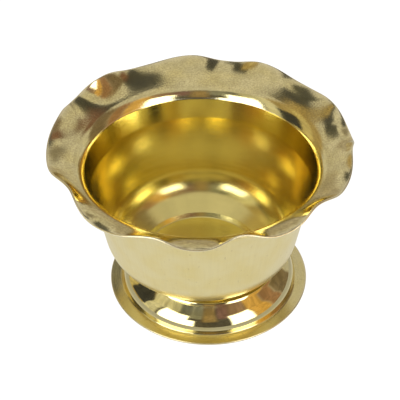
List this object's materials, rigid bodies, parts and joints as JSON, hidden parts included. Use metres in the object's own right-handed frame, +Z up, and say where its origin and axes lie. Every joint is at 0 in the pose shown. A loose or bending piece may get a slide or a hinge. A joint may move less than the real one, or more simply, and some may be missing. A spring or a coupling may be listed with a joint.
{
  "type": "diya oil lamp",
  "caption": "Small brass oil lamp: a deep round bowl with a ruffled flared rim, soldered onto a low domed hollow foot.",
  "frame": {"origin": "middle of the lamp's bounding box, on the plane it stands on", "axes": "+Z up along the axis of the bowl; +X to the right of a person facing the lamp, towards the foot's offset side; +Y away from that person"},
  "size_m": [0.0742, 0.0748, 0.0452],
  "materials": {
    "satin_brass": "fine-grained satin, slightly speckled",
    "polished_brass": "bright lathe polish on the dome, fine turning marks on the flange",
    "solder": "dull, wiped"
  },
  "bodies": {
    "root": {"bowl": "satin_brass", "foot": "polished_brass", "solder_bead": "solder"}
  },
  "joints": []
}
